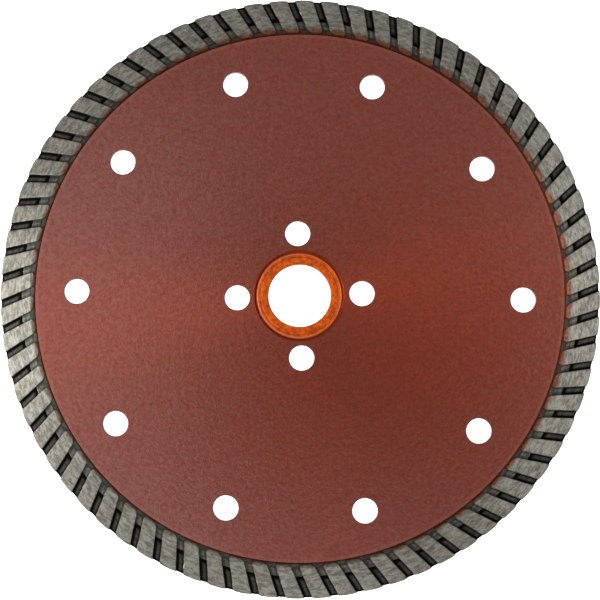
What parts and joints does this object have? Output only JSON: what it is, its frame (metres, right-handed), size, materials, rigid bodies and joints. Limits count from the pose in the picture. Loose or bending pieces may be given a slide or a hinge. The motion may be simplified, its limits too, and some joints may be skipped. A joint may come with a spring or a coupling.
{
  "type": "diamond blade",
  "caption": "Round turbo-rim diamond cutting blade: a painted steel disc with a slant-ribbed sintered rim, flush-mount screw holes, cooling holes and a removable arbor reducing bushing.",
  "frame": {"origin": "centre of the arbor hole, halfway through the blade's thickness", "axes": "+Z along the spin axis, out of the front face; +X and +Y each pass through one flush-mount screw hole"},
  "size_m": [0.1524, 0.1524, 0.0024],
  "materials": {
    "core_lacquer": "red-brown lacquer over ground steel, satin",
    "sintered_foot": "dark grey sintered metal powder, rough",
    "diamond_bond": "grey sintered bond with diamond grit, rough",
    "bushing_lacquer": "orange lacquer on turned steel, satin"
  },
  "bodies": {
    "blade": {"steel_core": "core_lacquer", "transition_ring": "sintered_foot", "diamond_rim": "diamond_bond"},
    "bushing": {"arbor_bushing": "bushing_lacquer"}
  },
  "joints": [
    {"name": "bushing_slide", "type": "slide", "parent": "blade", "child": "bushing", "axis": [0, 0, 1], "range_m": [-0.008, 0.008]}
  ]
}
